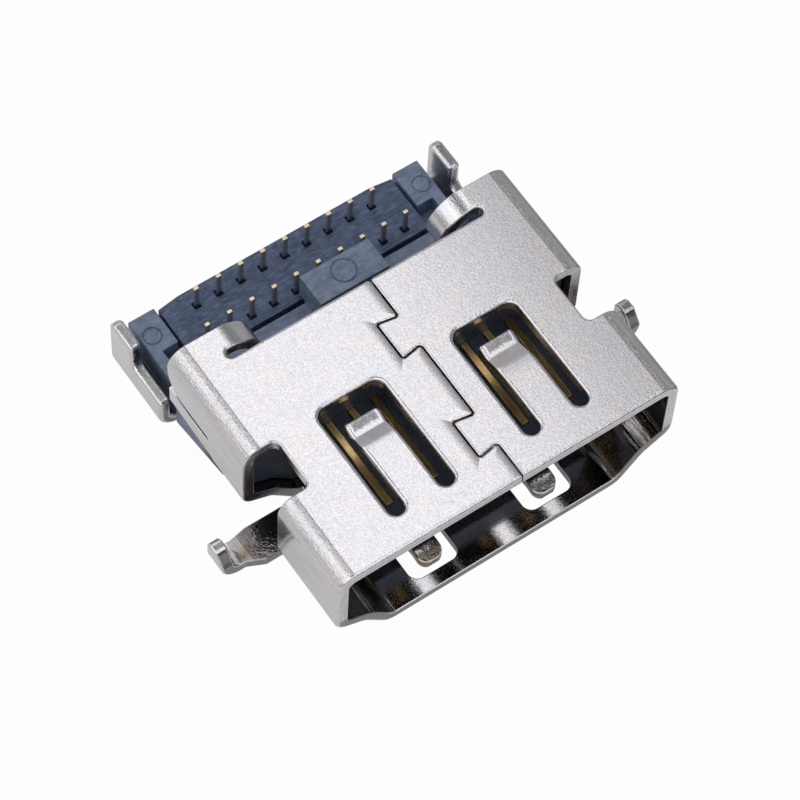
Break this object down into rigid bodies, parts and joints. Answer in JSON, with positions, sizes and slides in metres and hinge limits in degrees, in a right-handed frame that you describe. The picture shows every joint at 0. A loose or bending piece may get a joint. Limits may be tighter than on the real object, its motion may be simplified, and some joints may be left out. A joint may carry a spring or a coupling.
{
  "type": "board-mount digital video socket",
  "caption": "Right-angle video socket with a D-shaped mouth in a folded metal shell, sunk into a board cut-out, with spring fingers, solder legs and a row of solder tails.",
  "frame": {"origin": "centre of the mouth opening, in the plane of the mouth's front edge", "axes": "+X to the right seen from the mouth, +Y into the socket, +Z towards the tips of the tails"},
  "size_m": [0.0188, 0.0154, 0.0068],
  "materials": {
    "nickel_sheet": "bright nickel plate on folded sheet, fine grain on the flats and stretched bands on the bends",
    "housing_plastic": "matte blue-black moulding",
    "locator_plastic": "matte blue-black moulding",
    "contact_metal": "thin gold plate on the mating end and at the cut tips, grey tin on the tails"
  },
  "bodies": {
    "root": {"shell": "nickel_sheet", "insulator_housing": "housing_plastic", "tail_locator": "locator_plastic", "contact_01": "contact_metal", "contact_02": "contact_metal", "contact_03": "contact_metal", "contact_04": "contact_metal", "contact_05": "contact_metal", "contact_06": "contact_metal", "contact_07": "contact_metal", "contact_08": "contact_metal", "contact_09": "contact_metal", "contact_10": "contact_metal", "contact_11": "contact_metal", "contact_12": "contact_metal", "contact_13": "contact_metal", "contact_14": "contact_metal", "contact_15": "contact_metal", "contact_16": "contact_metal", "contact_17": "contact_metal", "contact_18": "contact_metal", "contact_19": "contact_metal"}
  },
  "joints": []
}
